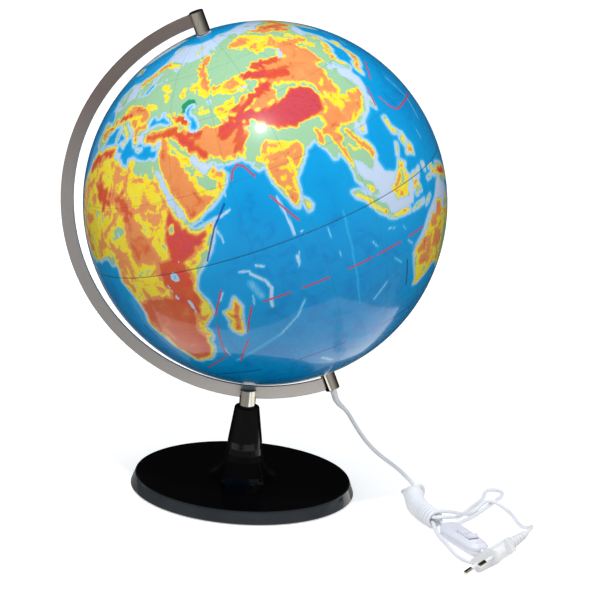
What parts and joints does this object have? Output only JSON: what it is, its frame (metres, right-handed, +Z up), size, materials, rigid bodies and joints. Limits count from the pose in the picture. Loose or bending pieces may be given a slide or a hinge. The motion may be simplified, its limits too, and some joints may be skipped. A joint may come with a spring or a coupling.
{
  "type": "desktop globe on stand",
  "caption": "Illuminated world globe spinning on a tilted half meridian arm over a black column and round base, with a bundled mains lead, rocker switch and plug.",
  "frame": {"origin": "centre of the base's underside, on the surface that the stand rests on", "axes": "+Z up; the spin axis leans towards -X in a plane of constant Y; the lead leaves on the +X side; a viewer looks along +Y"},
  "size_m": [0.4313, 0.3697, 0.4325],
  "materials": {
    "black_gloss": "polished black moulding",
    "cast_iron": "rough cast",
    "cover_plate": "black paint",
    "zinc_steel": "zinc plated",
    "felt": "dense felt",
    "chrome": "bright chrome",
    "satin_steel": "satin, brushed along its length",
    "black_oxide": "black oxide",
    "brass": "plain brass",
    "holder_plastic": "moulded",
    "cap_metal": "rolled thread",
    "bulb_glass": "frosted glass",
    "map_skin": "printed map under clear lacquer",
    "inner_plastic": "moulded white",
    "lead_pvc": "soft white PVC",
    "switch_plastic": "moulded white with a lavender cast",
    "plug_plastic": "moulded white",
    "plug_nickel": "nickel plated"
  },
  "bodies": {
    "root": {"base_shell": "black_gloss", "base_weight": "cast_iron", "base_cover": "cover_plate", "cover_screw_1": "zinc_steel", "cover_screw_2": "zinc_steel", "cover_screw_3": "zinc_steel", "foot_pad": "felt", "support_post": "chrome", "post_washer": "zinc_steel", "post_nut": "zinc_steel", "arm_screw": "zinc_steel", "meridian_arm": "satin_steel", "upper_sleeve": "chrome", "upper_pin": "zinc_steel", "upper_grub_screw": "black_oxide", "lower_sleeve": "chrome", "lower_grub_screw": "black_oxide", "lamp_tube": "brass", "tube_nut": "brass", "lamp_holder": "holder_plastic", "lamp_shell": "brass", "lamp_contact": "brass", "bulb_cap": "cap_metal", "bulb_glass": "bulb_glass", "bulb_filament": "zinc_steel", "inner_lead": "lead_pvc", "lead_relief": "lead_pvc", "cord_lead": "lead_pvc", "cord_hank": "lead_pvc", "cord_loop": "lead_pvc", "cord_lower_run": "lead_pvc", "cord_link": "lead_pvc", "cord_tail": "lead_pvc", "switch_lower_shell": "switch_plastic", "switch_upper_shell": "switch_plastic", "switch_contact_1": "brass", "switch_contact_2": "brass", "switch_screw_1": "zinc_steel", "switch_screw_2": "zinc_steel", "plug_body": "plug_plastic", "plug_relief": "plug_plastic", "plug_pin_1": "plug_nickel", "plug_pin_2": "plug_nickel", "pin_sleeve_1": "plug_plastic", "pin_sleeve_2": "plug_plastic"},
    "globe": {"north_half": "map_skin", "south_half": "map_skin", "equator_ring": "inner_plastic", "north_bush": "inner_plastic", "south_bush": "map_skin"},
    "rocker": {"switch_rocker": "switch_plastic"}
  },
  "joints": [
    {"name": "globe_spin", "type": "hinge", "parent": "root", "child": "globe", "pos_m": [0.0045, 0.006, 0.2635], "axis": [-0.3907, 0, 0.9205], "continuous": true},
    {"name": "switch_rocker", "type": "hinge", "parent": "root", "child": "rocker", "pos_m": [0.19906, -0.11767, 0.0094], "axis": [0.8788, 0.4772, 0], "range_deg": [0, 15]}
  ]
}
